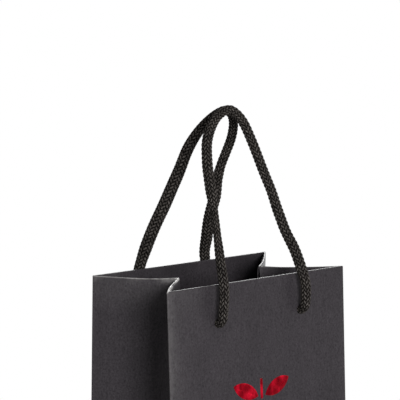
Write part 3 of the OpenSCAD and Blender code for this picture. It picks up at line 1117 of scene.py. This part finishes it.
def add_emblem():
    verts = []
    faces = []
    first_row = -STEM_L - STEM_W - LEAF_W / 2 - BERRY_R
    for row in range(BERRY_ROWS):
        for i in range(BERRY_ROWS - row):
            x = (i - (BERRY_ROWS - 1 - row) / 2) * BERRY_PITCH
            y = first_row - row * BERRY_PITCH * math.sin(math.pi / 3)
            ring = [
                (x + BERRY_R * math.cos(turn), y + BERRY_R * math.sin(turn))
                for turn in spread(0, 2 * math.pi, BERRY_STEPS)[:-1]
            ]
            foil_patch(ring, (x, y), verts, faces)
    for flip in (1, -1):
        outline, middle, vein = leaf_outline(flip)
        foil_patch(outline, middle, verts, faces, vein)
    half = STEM_W / 2
    low = -STEM_L - STEM_W
    stem = [
        (half, low), (half, low / 2), (half, 0), (0, STEM_TIP),
        (-half, 0), (-half, low / 2), (-half, low), (0, low),
    ]
    foil_patch(stem, (0, low / 2), verts, faces)
    obj = add_mesh("emblem_foil", verts, faces, foil, "foil", FOIL_SHARP)
    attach(obj, "front_panel")
    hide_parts("foil_emblem")


add_emblem()

# Camera: its turn, drop and roll, what it aims at and from how far
VIEW_TURN = math.radians(39.106)
VIEW_DROP = math.radians(7.550)
VIEW_ROLL = math.radians(-0.227)
VIEW_AIM = Vector((-0.01308, 0, 0.39836))
VIEW_DISTANCE = 0.900
FOCAL_PIXELS = 1732.9
IMAGE_PIXELS = 400
SENSOR = 36.0


def add_camera():
    ahead = Vector((
        math.sin(VIEW_TURN) * math.cos(VIEW_DROP),
        math.cos(VIEW_TURN) * math.cos(VIEW_DROP),
        -math.sin(VIEW_DROP),
    ))
    right = Vector((math.cos(VIEW_TURN), -math.sin(VIEW_TURN), 0))
    up = right.cross(ahead)
    rolled_right = right * math.cos(VIEW_ROLL) + up * math.sin(VIEW_ROLL)
    rolled_up = up * math.cos(VIEW_ROLL) - right * math.sin(VIEW_ROLL)
    data = bpy.data.cameras.new("camera")
    data.sensor_width = SENSOR
    data.lens = FOCAL_PIXELS / IMAGE_PIXELS * SENSOR
    obj = bpy.data.objects.new("camera", data)
    bpy.context.collection.objects.link(obj)
    turned = Matrix((rolled_right, rolled_up, -ahead)).transposed().to_4x4()
    obj.matrix_world = Matrix.Translation(VIEW_AIM - ahead * VIEW_DISTANCE) @ turned
    bpy.context.scene.camera = obj


add_camera()

# Studio: pale floor, white surroundings and three soft lamps
FLOOR_HALF = 6.0
FLOOR_NEAR = 0.35  # distances between which the floor fades to white
FLOOR_FAR = 0.9
FLOOR_PALE = 0.5  # share of white near the bag
FLOOR_COLOUR = (0.82, 0.82, 0.82, 1)
FLOOR_ROUGH = 0.9
WHITE = (1, 1, 1, 1)
ROOM_LIGHT = 0.09  # how strongly the surroundings light the bag

# Lamps: place, aim, size and power
LAMPS = {
    "key": ((-0.50, -1.36, 0.74), (0, 0, 0.35), 0.5, 21.2),
    "fill": ((1.1, -0.95, 0.60), (0, 0, 0.35), 0.6, 2.6),
    "back": ((1.15, 1.05, 0.80), (0, 0, 0.25), 0.7, 8),
}


def seen_directly(tree):
    """One for rays from the camera, or from gloss and glass, that show the background."""
    path = add_node(tree, "ShaderNodeLightPath")
    first = add_node(
        tree, "ShaderNodeMath",
        {0: path.outputs["Is Camera Ray"], 1: path.outputs["Is Glossy Ray"]}, operation="MAXIMUM",
    )
    return add_node(
        tree, "ShaderNodeMath",
        {0: first.outputs[0], 1: path.outputs["Is Transmission Ray"]}, operation="MAXIMUM",
    ).outputs[0]


def add_floor():
    material, tree, surface = shader("pale_floor")
    surface.inputs["Base Color"].default_value = FLOOR_COLOUR
    surface.inputs["Roughness"].default_value = FLOOR_ROUGH
    coords = add_node(tree, "ShaderNodeTexCoord").outputs["Object"]
    far = add_node(tree, "ShaderNodeVectorMath", {0: coords}, operation="LENGTH").outputs["Value"]
    fade = add_node(
        tree, "ShaderNodeMapRange",
        {"Value": far, "From Min": FLOOR_NEAR, "From Max": FLOOR_FAR, "To Min": FLOOR_PALE},
        interpolation_type="SMOOTHSTEP",
    ).outputs[0]
    share = add_node(
        tree, "ShaderNodeMath", {0: fade, 1: seen_directly(tree)}, operation="MULTIPLY",
    ).outputs[0]
    white = add_node(tree, "ShaderNodeEmission", {"Color": WHITE, "Strength": 1.0})
    both = add_node(tree, "ShaderNodeMixShader", {0: share, 1: surface.outputs[0], 2: white.outputs[0]})
    tree.links.new(both.outputs[0], tree.nodes["Material Output"].inputs["Surface"])
    mesh = bpy.data.meshes.new("floor")
    corners = [(x * FLOOR_HALF, y * FLOOR_HALF, 0) for x, y in ((-1, -1), (1, -1), (1, 1), (-1, 1))]
    mesh.from_pydata(corners, [], [(0, 1, 2, 3)])
    mesh.materials.append(material)
    obj = bpy.data.objects.new("floor", mesh)
    bpy.context.collection.objects.link(obj)


def add_world():
    world = bpy.data.worlds.new("studio")
    world.use_nodes = True
    tree = world.node_tree
    background = tree.nodes["Background"]
    background.inputs["Color"].default_value = WHITE
    level = add_node(
        tree, "ShaderNodeMapRange",
        {"Value": seen_directly(tree), "To Min": ROOM_LIGHT, "To Max": 1.0},
    ).outputs[0]
    tree.links.new(level, background.inputs["Strength"])
    bpy.context.scene.world = world


def add_lamp(name, place, aim, size, power):
    data = bpy.data.lights.new(name, "AREA")
    data.shape = "SQUARE"
    data.size = size
    data.energy = power
    obj = bpy.data.objects.new(name, data)
    bpy.context.collection.objects.link(obj)
    obj.location = place
    obj.rotation_mode = "QUATERNION"
    obj.rotation_quaternion = (Vector(aim) - Vector(place)).to_track_quat("-Z", "Y")


add_floor()
add_world()
for name, settings in LAMPS.items():
    add_lamp(name, *settings)

bpy.context.scene.view_settings.view_transform = "Standard"
